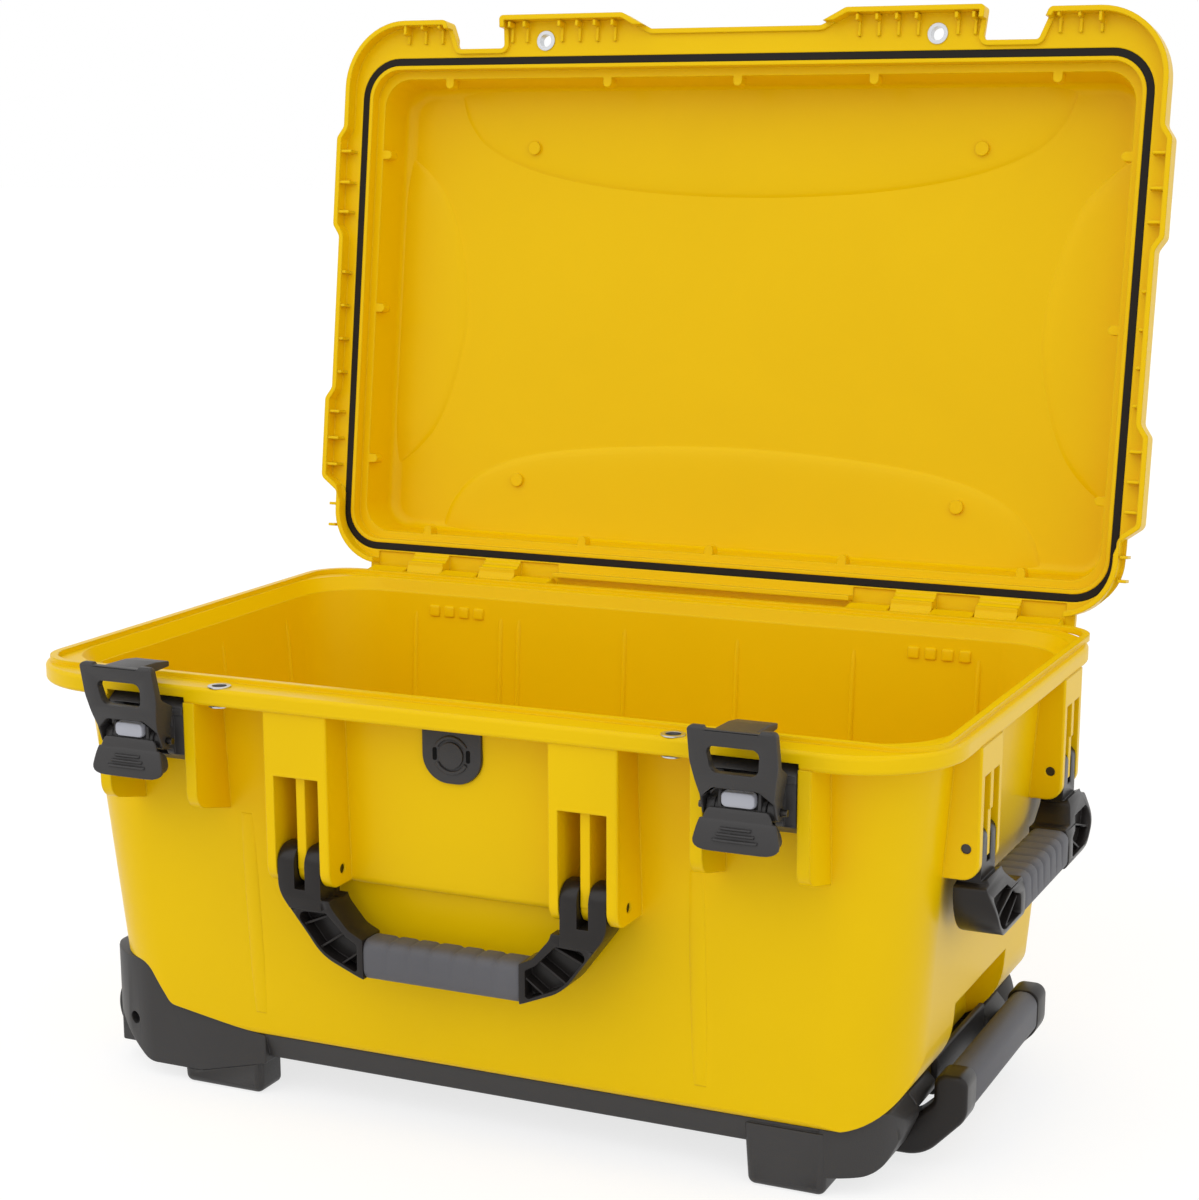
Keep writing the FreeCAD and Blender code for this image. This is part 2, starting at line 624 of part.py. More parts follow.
def latch_claw():
    """Leaning claw: waisted plate with a window, raised top corners, flanks and a hook behind its top."""
    lean = [(LATCH_Y - 5.5, LATCH_Z - 4, 3), (LATCH_Y + 3.5, LATCH_Z - 4.5, 3), (LATCH_Y + 4, LATCH_Z + 4, 3),
            (LATCH_Y - 5, LATCH_Z + 9, 8), (-227.3, 295, 0), (-232.5, 294.6, 2), (-225.5, 262, 40)]
    plate = prism_x(lean, LATCH_X - 27, LATCH_X + 27)
    flank = [(LATCH_Y - 5, 251, 0), (LATCH_Y + 3.8, 248, 3), (-207.6, 262, 4), (-209, 267, 3),
             (-221.5, 273, 6),
             (-227, 286, 0), (-230, 286, 0), (-220, 262, 0)]
    flanks = [prism_x(flank, LATCH_X + a, LATCH_X + a + 5) for a in (-25.5, 20.5)]
    front = hourglass([(22.0, LATCH_Z - 6, 2), (21.6, LATCH_Z + 8, 10), (25.5, 274, 30), (25.5, 294.5, 3)])
    plate = fuse([plate] + flanks).common(prism_y(front, -240, -195))
    window = prism_y(hourglass([(13.5, 268, 5), (15.5, 283.5, 4)]), -245, -200)
    arch = prism_y(hourglass([(20.4, LATCH_Z - 10, 0), (20.4, LATCH_Z + 6.5, 0), (13, LATCH_Z + 13, 5)]),
                   -245, -190)
    dip = prism_y(hourglass([(18, 300, 0), (16, 293, 1)]), -245, -200)
    hook = prism_x([(-226.5, 285.7, 0), (-194, 286.9, 0), (-192.5, 287.1, 0), (-192.5, 290.3, 1),
                    (-205, 292, 5),
                    (-228, 292.5, 0)], LATCH_X - 12, LATCH_X + 12)
    body = fuse([cut(plate, [window, arch, dip]), hook])
    return cut(body, [latch_pin_hole()])


def latch_lever():
    """Release lever: barrel between the ears, ridged tab below, pocket for the lock button."""
    barrel = rod(5.5, (LATCH_X - 14.6, LATCH_Y, LATCH_Z), (LATCH_X + 14.6, LATCH_Y, LATCH_Z))
    neck = prism_x([(LATCH_Y - 6, LATCH_Z + 11, 1), (LATCH_Y + 2, LATCH_Z + 11, 1), (LATCH_Y + 5, LATCH_Z, 2),
                    (LATCH_Y + 2, LATCH_Z - 7, 2), (LATCH_Y - 7, LATCH_Z - 7,
                                                    0)], LATCH_X - 12.6, LATCH_X + 12.6)
    side = [(LATCH_Y - 4, LATCH_Z - 6.2, 0), (-213, 236, 4), (-217.5, 225.5, 1), (-225.5, 224.5, 2),
            (-222, 239, 1),
            (LATCH_Y - 6.5, LATCH_Z - 6.2, 0)]
    tab = prism_x(side, LATCH_X - 27, LATCH_X + 27)
    front = hourglass([(17.0, 224, 6), (25.0, 229, 4), (20.2, LATCH_Z - 6.4, 0)])
    tab = tab.common(prism_y(front, -240, -195))
    ridges = [rod(0.9, (LATCH_X - half, y, z), (LATCH_X + half, y, z))
              for half, y, z in ((9, -222.9, 236.5), (11, -223.6, 233.5), (13, -224.4, 230.5))]
    pocket = box((LATCH_X - 10.4, LATCH_X + 10.4), (-235, LATCH_Y - 1.6), (LATCH_Z + 1.6, LATCH_Z + 20))
    body = fuse([barrel, neck, tab] + ridges)
    return cut(body, [pocket, latch_pin_hole()])


def latch_button():
    """Lock button in the lever's pocket."""
    body = prism_z([(LATCH_X - 10, LATCH_Y - 4.4, 0), (LATCH_X - 10, LATCH_Y - 7.5, 2),
                    (LATCH_X, LATCH_Y - 9.6, 12),
                    (LATCH_X + 10, LATCH_Y - 7.5, 2), (LATCH_X + 10, LATCH_Y - 4.4,
                                                       0)], LATCH_Z + 2, LATCH_Z + 11)
    return body


def handle_arm(form):
    """Right arm of a carry handle hung from a pin at the origin: two prongs round the bracket's rib."""
    low = -(form["drop"] + GRIP_HALF_H)
    high = -(form["drop"] - GRIP_HALF_H)
    prong_in = SLOTS[0][0] + 0.6
    prong_out = SLOTS[1][1] - 0.6
    end = GRIP_HALF_L + 0.1
    clear = form["clear"]
    tip, tip_back, tip_front, tip_r = form["prong"]
    points = [(prong_in, tip + 6, 0), (prong_out, tip + 6, 0)] + form["outer"]
    points += [(end, low, 0), (end, high, 0)] + form["inner"]
    face = prism_y(points, -40, 40)
    swept = [rod(clear, (50, 0, 0), (130, 0, 0)), box((50, 130), (-40, 40), (form["level"], 40))]
    arm = cut(face.common(prism_x(form["side"], 40, 130)), swept)
    front = form["front"]
    pocket = prism_y(form["pocket"], front - 5, front + form["pocket_d"])
    ribs = []
    for x1, z1, x2, z2 in form["ribs"]:
        rib = prism_y([(x1, z1 - 0.8, 0), (x2, z2 - 0.8, 0), (x2, z2 + 0.8, 0), (x1, z1 + 0.8, 0)],
                      front + 2, front + form["pocket_d"] + 1)
        ribs.append(rib.common(pocket))
    foot = -clear - 6
    side = [(tip_back, foot, 0), (tip_back, tip, tip_back - 0.5), (tip_front, tip, tip_r),
            (tip_front, foot, 0)]
    prongs = prism_x(side, prong_in, prong_out).common(face)
    arm = fuse([arm, prongs]).cut(pocket)
    arm = fuse([arm] + ribs)
    gap = rod(RIB_NOSE_R + 0.7, (SLOTS[0][1] - 0.6, 0, 0), (SLOTS[1][0] + 0.6, 0, 0))
    over = box((SLOTS[0][1] - 0.6, SLOTS[1][0] + 0.6), (-30, 30), (-RIB_NOSE_R - 1.3, 30))
    return cut(arm, [gap, over, rod(PIN_R + 0.06, (50, 0, 0), (130, 0, 0))])


def handle_frame(form):
    """Two arms and the core bar that the grip is moulded round."""
    arm = handle_arm(form)
    core = prism_x(core_points(form, 0), -GRIP_HALF_L - 2, GRIP_HALF_L + 2)
    return fuse([arm, mirror_x(arm), core])


def core_points(form, grow):
    """Section of the core bar in (y, z)."""
    middle = (form["back"] + form["front"]) / 2
    d = 5.5 + grow
    h = 7.0 + grow
    low, high = -form["drop"] - h, -form["drop"] + h
    return [(middle - d, low, 4), (middle + d, low, 4), (middle + d, high, 4), (middle - d, high, 4)]


def handle_grip(form):
    """Soft grip round the core bar, a little fuller in the middle, with shallow grooves."""
    drop = form["drop"]
    middle = (form["back"] + form["front"]) / 2
    half_d = (form["back"] - form["front"]) / 2 - 0.5
    wires = []
    for x, swell in ((-GRIP_HALF_L, 0.0), (0.0, 1.0), (GRIP_HALF_L, 0.0)):
        d = half_d - 1.0 + swell
        h = GRIP_HALF_H - 1.0 + swell
        ring = [(middle - d, -drop - h, 8), (middle + d, -drop - h, 8), (middle + d, -drop + h, 8),
                (middle - d, -drop + h, 8)]
        wires.append(outline(ring, lambda p: V(x, p.x, p.y)).OuterWire)
    body = Part.makeLoft(wires, True, True)
    core = prism_x(core_points(form, 0.05), -70, 70)
    grooves = []
    for x in GROOVE_X:
        front = form["front"] - 1.9
        grooves.append(rod(3.0, (x, front, -drop - 20), (x, front, -drop + 20)))
    return cut(body, [core] + grooves)


def handle_pins():
    """Pair of pivot pins of one handle, about its pin line."""
    pin = rod(PIN_R, (BRACKET_IN + 1, 0, 0), (BRACKET_OUT - 1, 0, 0))
    return Part.makeCompound(both_x(pin))


def on_front(shape):
    placed = shape.copy()
    placed.translate(V(0, FRONT_PIN_Y, FRONT_PIN_Z))
    return placed


def on_end(shape):
    """Hang a handle piece on the right end."""
    placed = shape.copy()
    placed.rotate(V(0, 0, 0), V(0, 0, 1), 90)
    placed.translate(V(SIDE_PIN_X, 0, SIDE_PIN_Z))
    return placed


def wheel_housing():
    """Moulded housing round the front-left wheel, flush with the tub's wall."""
    profile = [(-150.6, 22, 0), (-150.6, 41.2, 0), (-219.4, 53.0, 8), (-236.4, 79.6, 14), (-283, 79.6, 6),
               (-283, 46, 14), (-240, 9.5, 16), (-200, 9.5, 8)]
    body = prism_y(profile, BASE_FRONT_Y - 1, -98.4)
    corner = prism_z(rectangle(283, BASE_FRONT_Y - 1, 200, 48), 0, 90)
    cover = wheel_drum(WHEEL_R + 6, WHEEL_W / 2 + 4.6).common(box((-282, -200), (-200, 0), (14, 90)))
    return fuse([body, cover]).common(corner).cut(wheel_drum(WHEEL_R + 3, WHEEL_W / 2 + 1.5))


def base_foot(low_x, high_x):
    """Foot under the front edge, standing on the floor."""
    profile = [(low_x, BASE_TOP - 3, 0), (high_x, BASE_TOP - 3, 0), (high_x, 0, 5), (low_x + 3, 0, 5)]
    body = prism_y(profile, BASE_FRONT_Y - 0.8, -128)
    return body.makeFillet(5, edges_where(body, lambda p: abs(p.y - BASE_FRONT_Y + 0.8) < 0.01 and p.z < 1))


def corner_block():
    """Block under the tub's rounded front-right end."""
    profile = [(221, 50, 0), (257, 50, 0), (266, 40, 6), (254, 13, 16), (221, 11, 0)]
    body = prism_y(profile, BASE_FRONT_Y + 1, -96)
    plan = prism_z(rectangle(266, BASE_FRONT_Y + 1, 200, 46), 0, 90)
    return body.common(plan).cut(tub_form(0.2))


def end_shelf():
    """Shelf over the pull arm, from the corner block to the upstand, shaped to the tub's end."""
    profile = [(221, 50, 0), (258, 50, 0), (265, 42, 4), (262, 39, 2), (252, 34.5, 0), (221, 34.5, 0)]
    return prism_y(profile, -97, -57).cut(tub_form(0.2))


def base_frame():
    """Tray under the tub with feet, tube housings, corner blocks and wheel housings."""
    front = -BASE_FRONT_Y
    skin = BASE_TOP - 5
    tray = tapered((248, front - 5, BASE_LOW), (256, front, BASE_TOP), 40)
    tray = tray.cut(tub_form(0.2))
    tray = tray.cut(tapered((243, front - 10, BASE_LOW - 1), (249, front - 5, skin), 36))
    added = []
    for x in (-160, -80, 0, 80, 160):
        added.append(box((x - 1.5, x + 1.5), (-front + 8, front - 8), (BASE_LOW + 1, skin + 1)))
    tube = prism_x([(RAIL_Y - 12, 9.5, 6), (RAIL_Y + 12, 9.5, 6), (RAIL_Y + 12, skin + 1, 0),
                    (RAIL_Y - 12, skin + 1, 0)], -212, 236)
    added += both_y(tube)
    for low, high in FEET_X:
        added += both_y(base_foot(low, high))
    added += both_y(corner_block()) + both_y(end_shelf())
    upstand = prism_y([(236, 32, 0), (262, 32, 3), (262, 57, 2), (257.5, 57, 2), (257.5, BASE_TOP, 0),
                       (236, BASE_TOP, 0)], -52, 52)
    added.append(upstand)
    added += both_y(wheel_housing())
    body = fuse([tray] + added)
    taken = []
    for side in (-1, 1):
        y = RAIL_Y * side
        taken.append(rod(GUIDE_R + 0.05, (-206, y, RAIL_Z), (240, y, RAIL_Z)))
        taken.append(box((236.2, 300), (y - 13.5, y + 13.5), (0, 33.5)))
        y = WHEEL_Y * side
        taken.append(rod(AXLE_R + 0.05, (WHEEL_X, y - 40, WHEEL_Z), (WHEEL_X, y + 40, WHEEL_Z)))
    taken += both_y(wheel_drum(WHEEL_R + 3, WHEEL_W / 2 + 1.5))
    return cut(body, taken)


def spun(points, y):
    """Profile of (radius, offset) points turned about a wheel's axle."""
    face = outline(points, lambda p: V(WHEEL_X + p.x, y + p.y, WHEEL_Z))
    return face.revolve(V(WHEEL_X, y, WHEEL_Z), V(0, 1, 0), 360)


def wheel_hub(y):
    half = WHEEL_W / 2 - 1
    rim_r = WHEEL_R - 9
    return spun([(AXLE_R + 0.06, -half, 0), (9, -half, 1), (10, -5, 2), (rim_r - 5, -5, 2),
                 (rim_r - 3, -half, 1),
                 (rim_r, -half, 0), (rim_r, half, 0), (rim_r - 3, half, 1), (rim_r - 5, 5, 2), (10, 5, 2),
                 (9, half, 1), (AXLE_R + 0.06, half, 0)], y)


def wheel_tyre(y):
    half = WHEEL_W / 2
    rim_r = WHEEL_R - 9
    return spun([(rim_r + 0.02, -half, 1), (WHEEL_R - 1, -half, 4), (WHEEL_R, 0, 20), (WHEEL_R - 1, half, 4),
                 (rim_r + 0.02, half, 1)], y)


def wheel_axle(y):
    return rod(AXLE_R, (WHEEL_X, y - 19, WHEEL_Z), (WHEEL_X, y + 19, WHEEL_Z))


def pull_arm():
    """Curved arm from a rail up to the rear end of the pull bar."""
    profile = [(ARM_START_X, 8.5, 0), (266, 8.5, 26), (292, 36, 16), (292, 62, 7), (271.5, 62, 7),
               (271.5, 44, 8),
               (258, 31.5, 10), (ARM_START_X, 31.5, 0)]
    body = prism_y(profile, RAIL_Y - 9, RAIL_Y + 12)
    return body.makeFillet(3, edges_where(body, lambda p: abs(p.y - RAIL_Y - 12) < 0.01 and p.x > 258))


def pull_yoke():
    """Both arms and the core bar between them."""
    core = prism_y([(277, 40, 2), (287, 40, 2), (287, 54, 2), (277, 54, 2)], -RAIL_Y, RAIL_Y)
    return fuse(both_y(pull_arm()) + [core])


def pull_grip():
    """Soft sleeve round the core bar."""
    half = RAIL_Y - 9.05
    body = prism_y([(273, 33, 8), (291.5, 33, 9), (291.5, 61.5, 9), (273, 61.5, 8)], -half, half)
    core = prism_y([(276.95, 39.95, 2), (287.05, 39.95, 2), (287.05, 54.05, 2), (276.95, 54.05, 2)],
                   -RAIL_Y, RAIL_Y)
    return body.cut(core)


def pipe(outer, inner, start, end, y):
    """Straight tube along X."""
    bore = rod(inner, (start - 1, y, RAIL_Z), (end + 1, y, RAIL_Z))
    return rod(outer, (start, y, RAIL_Z), (end, y, RAIL_Z)).cut(bore)


def base_screws():
    """Pan heads under the tray's skin."""
    skin = BASE_TOP - 5
    heads = []
    for x in (-120, -40, 40, 120):
        for y in (-118, 118):
            heads.append(rod(4.5, (x, y, skin - 3), (x, y, skin)))
    return Part.makeCompound(heads)


def hinge_pin(side):
    x = HINGE_X * side
    return rod(HINGE_PIN_R, (x - 76, HINGE_Y, HINGE_Z), (x + 76, HINGE_Y, HINGE_Z))


def all_nodes():
    """Every piece by name, drawn about the tub's middle."""
    nodes = {"tub_shell": tub_shell(), "lid_shell": opened(lid_closed())}
    nodes["lid_gasket"] = opened(seal_ring(2.5, SEAL_Z + 0.1, SEAL_Z + 5.6))
    for name, side in (("left", -1), ("right", 1)):
        hand = mirror_x if side < 0 else lambda shape: shape
        nodes["hinge_pin_" + name] = hinge_pin(side)
        nodes["tub_eyelet_" + name] = hand(eyelet(RIM_LOW_Z, RIM_TOP_Z))
        nodes["lid_eyelet_" + name] = opened(hand(eyelet(SEAL_Z, SEAL_Z + ROOF)))
        nodes["latch_base_" + name] = hand(latch_base())
        nodes["latch_pin_" + name] = hand(latch_pin())
        nodes["latch_claw_" + name] = hand(latch_claw())
        nodes["latch_lever_" + name] = hand(latch_lever())
        nodes["latch_button_" + name] = hand(latch_button())
    nodes["right_handle_frame"] = on_end(handle_frame(SIDE_HANDLE))
    nodes["right_handle_grip"] = on_end(handle_grip(SIDE_HANDLE))
    nodes["right_handle_pins"] = on_end(handle_pins())
    nodes["front_handle_frame"] = on_front(handle_frame(FRONT_HANDLE))
    nodes["front_handle_grip"] = on_front(handle_grip(FRONT_HANDLE))
    nodes["front_handle_pins"] = on_front(handle_pins())
    nodes["valve_body"] = valve_body(0)
    nodes["valve_cap"] = valve_cap()
    nodes["base_frame"] = base_frame()
    nodes["base_screws"] = base_screws()
    for name, side in (("front", -1), ("rear", 1)):
        y = WHEEL_Y * side
        nodes["wheel_hub_" + name] = wheel_hub(y)
        nodes["wheel_tyre_" + name] = wheel_tyre(y)
        nodes["wheel_axle_" + name] = wheel_axle(y)
        nodes["rail_guide_" + name] = pipe(GUIDE_R, RAIL_R + 0.1, -205, 236, RAIL_Y * side)
        nodes["pull_rail_" + name] = pipe(RAIL_R, RAIL_R - 1.5, -200, ARM_START_X, RAIL_Y * side)
    nodes["pull_yoke"] = pull_yoke()
    nodes["pull_grip"] = pull_grip()
    return nodes


os.makedirs("parts", exist_ok=True)
for node, shape in all_nodes().items():
    shape.translate(V(0, FRAME_Y, 0))
    print(node, len(shape.Solids), shape.isValid(), round(shape.Volume / 1000, 1), shape.BoundBox)
    shape.exportStep("parts/" + node + ".step")
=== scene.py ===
import json
import math

import bmesh
import bpy
from mathutils import Euler, Matrix, Vector


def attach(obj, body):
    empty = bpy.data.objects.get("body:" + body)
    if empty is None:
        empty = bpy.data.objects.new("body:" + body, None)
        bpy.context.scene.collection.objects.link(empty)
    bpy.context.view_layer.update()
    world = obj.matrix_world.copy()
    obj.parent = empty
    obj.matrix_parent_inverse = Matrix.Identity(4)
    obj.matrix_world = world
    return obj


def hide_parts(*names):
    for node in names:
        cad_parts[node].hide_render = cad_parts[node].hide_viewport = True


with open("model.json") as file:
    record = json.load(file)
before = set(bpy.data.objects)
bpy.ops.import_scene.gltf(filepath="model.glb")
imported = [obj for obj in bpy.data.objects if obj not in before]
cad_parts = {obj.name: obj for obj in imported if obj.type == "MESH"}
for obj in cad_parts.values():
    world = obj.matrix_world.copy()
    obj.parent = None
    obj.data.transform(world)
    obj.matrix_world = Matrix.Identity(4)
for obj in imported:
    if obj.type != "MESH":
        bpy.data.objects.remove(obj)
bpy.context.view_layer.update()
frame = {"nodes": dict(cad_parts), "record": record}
nodes = frame["nodes"]


# Tub: one deep polypropylene moulding, yellow right through, with drafted walls, a turned-out rim
# and thickened brackets. The polished mould leaves a satin skin and small rounds on every edge.
def value_at(tree, kind, **settings):
    """New shader node with its properties or its inputs set by name."""
    node = tree.nodes.new(kind)
    for key, value in settings.items():
        if key in node.inputs:
            node.inputs[key].default_value = value
        else:
            setattr(node, key, value)
    return node


def group_of(name, inputs, outputs):
    """Shader node group with its sockets, plus its two end nodes."""
    tree = bpy.data.node_groups.new(name, "ShaderNodeTree")
    for label, start in inputs:
        socket = tree.interface.new_socket(label, in_out="INPUT", socket_type="NodeSocketFloat")
        socket.default_value = start
    for label, kind in outputs:
        tree.interface.new_socket(label, in_out="OUTPUT", socket_type="NodeSocket" + kind)
    return tree, tree.nodes.new("NodeGroupInput"), tree.nodes.new("NodeGroupOutput")


def soft_edge_group():
    """Rounded normal along hard edges, and a mask of those edges."""
    tree, start, end = group_of("Moulded edge", [("Radius", 0.001)],
                                [("Normal", "Vector"), ("Edge", "Float")])
    bevel = value_at(tree, "ShaderNodeBevel", samples=6)
    flat = tree.nodes.new("ShaderNodeNewGeometry")
    dot = value_at(tree, "ShaderNodeVectorMath", operation="DOT_PRODUCT")
    spread = value_at(tree, "ShaderNodeMapRange", **{"From Min": 0.995, "From Max": 0.80})
    join = tree.links.new
    join(start.outputs["Radius"], bevel.inputs["Radius"])
    join(bevel.outputs["Normal"], dot.inputs[0])
    join(flat.outputs["Normal"], dot.inputs[1])
    join(dot.outputs["Value"], spread.inputs["Value"])
    join(bevel.outputs["Normal"], end.inputs["Normal"])
    join(spread.outputs["Result"], end.inputs["Edge"])
    return tree


def mould_grain_group():
    """Fine skin of a moulding, broad flow marks and a few hairline scuffs."""
    tree, start, end = group_of("Mould grain", [("Grain", 900.0), ("Flow", 7.0)],
                                [("Height", "Float"), ("Flow", "Float"), ("Scuff", "Float")])
    place = tree.nodes.new("ShaderNodeTexCoord")
    grain = value_at(tree, "ShaderNodeTexNoise", Detail=2.0, Roughness=0.6)
    flow = value_at(tree, "ShaderNodeTexNoise", Detail=3.0, Roughness=0.55, Distortion=0.6)
    stretch = value_at(tree, "ShaderNodeMapping", Scale=(30.0, 30.0, 420.0), Rotation=(0.5, 0.9, 0.3))
    hair = value_at(tree, "ShaderNodeTexNoise", Scale=3.0, Detail=4.0, Roughness=0.7)
    pick = value_at(tree, "ShaderNodeMapRange", **{"From Min": 0.66, "From Max": 0.74})
    join = tree.links.new
    for texture in (grain, flow):
        join(place.outputs["Object"], texture.inputs["Vector"])
    join(start.outputs["Grain"], grain.inputs["Scale"])
    join(start.outputs["Flow"], flow.inputs["Scale"])
    join(place.outputs["Object"], stretch.inputs["Vector"])
    join(stretch.outputs["Vector"], hair.inputs["Vector"])
    join(hair.outputs["Fac"], pick.inputs["Value"])
    join(grain.outputs["Fac"], end.inputs["Height"])
    join(flow.outputs["Fac"], end.inputs["Flow"])
    join(pick.outputs["Result"], end.inputs["Scuff"])
    return tree


moulded_edge = soft_edge_group()
mould_grain = mould_grain_group()


def mixed(tree, kind, factor, low, high):
    """Mix node of a data type, each side a value or a socket."""
    mix = value_at(tree, "ShaderNodeMix", data_type=kind)
    index = {"FLOAT": (0, 2, 3, 0), "RGBA": (0, 6, 7, 2)}[kind]
    for place, given in zip(index[:3], (factor, low, high)):
        if isinstance(given, bpy.types.NodeSocket):
            tree.links.new(given, mix.inputs[place])
        else:
            mix.inputs[place].default_value = given
    return mix.outputs[index[3]]


skin_depth = 0.0006
scuff_dulling = 0.06


def moulding(name, deep, pale, edge, rough, grain, bump, radius, shine=0.5, metallic=0.0):
    """Moulded or drawn finish: two tones by flow, an edge tone with its share, a roughness range, the
    fineness and strength of the skin, and the radius of the edges in metres."""
    material = bpy.data.materials.new(name)
    material.use_nodes = True
    tree = material.node_tree
    shader = tree.nodes["Principled BSDF"]
    shader.inputs["Metallic"].default_value = metallic
    shader.inputs["Specular IOR Level"].default_value = shine
    soft = tree.nodes.new("ShaderNodeGroup")
    soft.node_tree = moulded_edge
    soft.inputs["Radius"].default_value = radius
    skin = tree.nodes.new("ShaderNodeGroup")
    skin.node_tree = mould_grain
    skin.inputs["Grain"].default_value = grain
    tone = mixed(tree, "RGBA", skin.outputs["Flow"], (*deep, 1), (*pale, 1))
    worn = value_at(tree, "ShaderNodeMath", operation="MULTIPLY")
    worn.inputs[1].default_value = edge[3]
    tree.links.new(soft.outputs["Edge"], worn.inputs[0])
    colour = mixed(tree, "RGBA", worn.outputs[0], tone, (*edge[:3], 1))
    tree.links.new(colour, shader.inputs["Base Color"])
    gloss = mixed(tree, "FLOAT", skin.outputs["Flow"], rough[0], rough[1])
    scuffed = mixed(tree, "FLOAT", skin.outputs["Scuff"], gloss, rough[1] + scuff_dulling)
    tree.links.new(scuffed, shader.inputs["Roughness"])
    relief = value_at(tree, "ShaderNodeBump", Strength=bump, Distance=skin_depth)
    tree.links.new(skin.outputs["Height"], relief.inputs["Height"])
    tree.links.new(soft.outputs["Normal"], relief.inputs["Normal"])
    tree.links.new(relief.outputs["Normal"], shader.inputs["Normal"])
    return material


def wear(material, *names):
    """Give a CAD piece its finish."""
    for name in names:
        for place in nodes[name].material_slots:
            place.material = material


yellow = moulding("Yellow shell",
                  deep=(0.82, 0.525, 0.0), pale=(0.875, 0.575, 0.0), edge=(0.93, 0.62, 0.01, 0.4),
                  rough=(0.27, 0.36), grain=1400.0, bump=0.04, radius=0.0014, shine=0.12)
wear(yellow, "tub_shell")


# Ribs, creases and studs: low forms of the tub's own yellow plastic, moulded in one with its walls. Ribs
# run up the inside, two soft creases down the front, and two rows of studs sit under the back of the rim.
tub_forward = 42.0
crisp_angle = math.radians(32)


def placed(x, y, z):
    """Point of the frame, in metres, from millimetres about the tub's middle."""
    return (x / 1000, (y - tub_forward) / 1000, z / 1000)


def settled(name, mesh, material, body):
    """New piece with smooth faces, split at its edges, riding on a body."""
    mesh.shade_smooth()
    mesh.set_sharp_from_angle(angle=crisp_angle)
    mesh.materials.clear()
    mesh.materials.append(material)
    piece = bpy.data.objects.new(name, mesh)
    bpy.context.scene.collection.objects.link(piece)
    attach(piece, body)
    return piece


def lofted(name, rings, material, body):
    """Closed skin over rings of equally many points, in millimetres about the tub's middle."""
    mesh = bpy.data.meshes.new(name)
    shape = bmesh.new()
    loops = [[shape.verts.new(placed(*point)) for point in ring] for ring in rings]
    count = len(rings[0])
    for low, high in zip(loops, loops[1:]):
        for i in range(count):
            j = (i + 1) % count
            shape.faces.new((low[i], low[j], high[j], high[i]))
    shape.faces.new(loops[0][::-1])
    shape.faces.new(loops[-1])
    bmesh.ops.recalc_face_normals(shape, faces=shape.faces)
    shape.to_mesh(mesh)
    shape.free()
    return settled(name, mesh, material, body)


half_depth = 163.0
half_length = 277.0
draft = 0.07
draft_from = 150.0
wall_thick = 4.0


def wall_at(half, z):
    """Half width of the tub's outside at a height, with its draft."""
    return half + draft * (z - draft_from)


bead_profile = ((-1.0, -0.3), (-0.62, 0.55), (-0.25, 0.92), (0.25, 0.92), (0.62, 0.55), (1.0, -0.3))


def bead(name, along, spots, height, width):
    """Low rounded bead up a wall. Its spots are (place, z, share of the height), and along gives the
    point at a place, a height and a depth."""
    rings = []
    for place, z, rise in spots:
        rings.append([along(place + width * u, z, height * (v * rise if v > 0 else v))
                      for u, v in bead_profile])
    lofted(name, rings, yellow, "tub")


rib_height = 2.1
rib_width = 2.6
back_ribs = (-210.0, -140.0, -125.5, -41.0, 45.0, 130.5, 218.5)
back_run = ((72, 0.05), (84, 1), (160, 1), (248, 1), (258, 0.05))
end_ribs = (-96.0, 12.0, 97.0)
end_run = ((122, 0.05), (136, 1), (180, 1), (248, 1), (258, 0.05))
for count, x in enumerate(back_ribs):
    bead("back_wall_rib_%d" % count,
         lambda p, z, d: (p, wall_at(half_depth, z) - wall_thick - d, z),
         [(x, z, rise) for z, rise in back_run], rib_height, rib_width)
for count, y in enumerate(end_ribs):
    for side in (-1, 1):
        bead("end_wall_rib_%d_%s" % (count, "left" if side < 0 else "right"),
             lambda p, z, d: (side * (wall_at(half_length, z) - wall_thick - d), p, z),
             [(y, z, rise) for z, rise in end_run], rib_height, rib_width)
crease_x = 150.0
crease_height = 1.0
crease_width = 6.0
crease_run = ((58, 0.02), (76, 0.35), (96, 0.8), (118, 1), (140, 0.95), (162, 0.6), (178, 0.25), (192, 0.02))
for side in (-1, 1):
    bead("front_wall_crease_" + ("left" if side < 0 else "right"),
         lambda p, z, d: (p, -wall_at(half_depth, z) - d, z),
         [(crease_x * side, z, rise) for z, rise in crease_run], crease_height, crease_width)


corner_steps = 4


def rounded_box(wide, tall, r):
    """Corner-rounded rectangle as (u, v) points, from its half sizes."""
    points = []
    for quarter in range(4):
        for step in range(corner_steps + 1):
            turn = math.pi / 2 * (quarter + step / corner_steps)
            middle = math.pi / 2 * quarter + math.pi / 4
            cu = math.copysign(wide - r, math.cos(middle))
            cv = math.copysign(tall - r, math.sin(middle))
            points.append((cu + r * math.cos(turn), cv + r * math.sin(turn)))
    return points


stud_z = 257.0
stud_pitch = 12.0
stud_steps = ((4.2, 1.4, -0.4), (4.0, 1.3, 1.5), (3.6, 1.2, 2.1), (2.6, 0.9, 2.3))
for group, start in (("left", -194.0), ("right", 173.0)):
    for count in range(4):
        middle = start + stud_pitch * count
        rings = []
        for half, r, lift in stud_steps:
            rings.append([(middle + u, wall_at(half_depth, stud_z + v) - wall_thick - lift, stud_z + v)
                          for u, v in rounded_box(half, half, r)])
        lofted("back_wall_stud_%s_%d" % (group, count), rings, yellow, "tub")


# Lid: the same polypropylene, moulded shallower, with a scalloped flange, short screw posts along the
# inside and four shallow pads on its ceiling. It turns on two pins at the back of the tub.
wear(yellow, "lid_shell")
lid_lean = math.radians(8.23)
ceiling_depth = 44.8
ceiling_foot_y = 211.1
ceiling_foot_z = 293.7


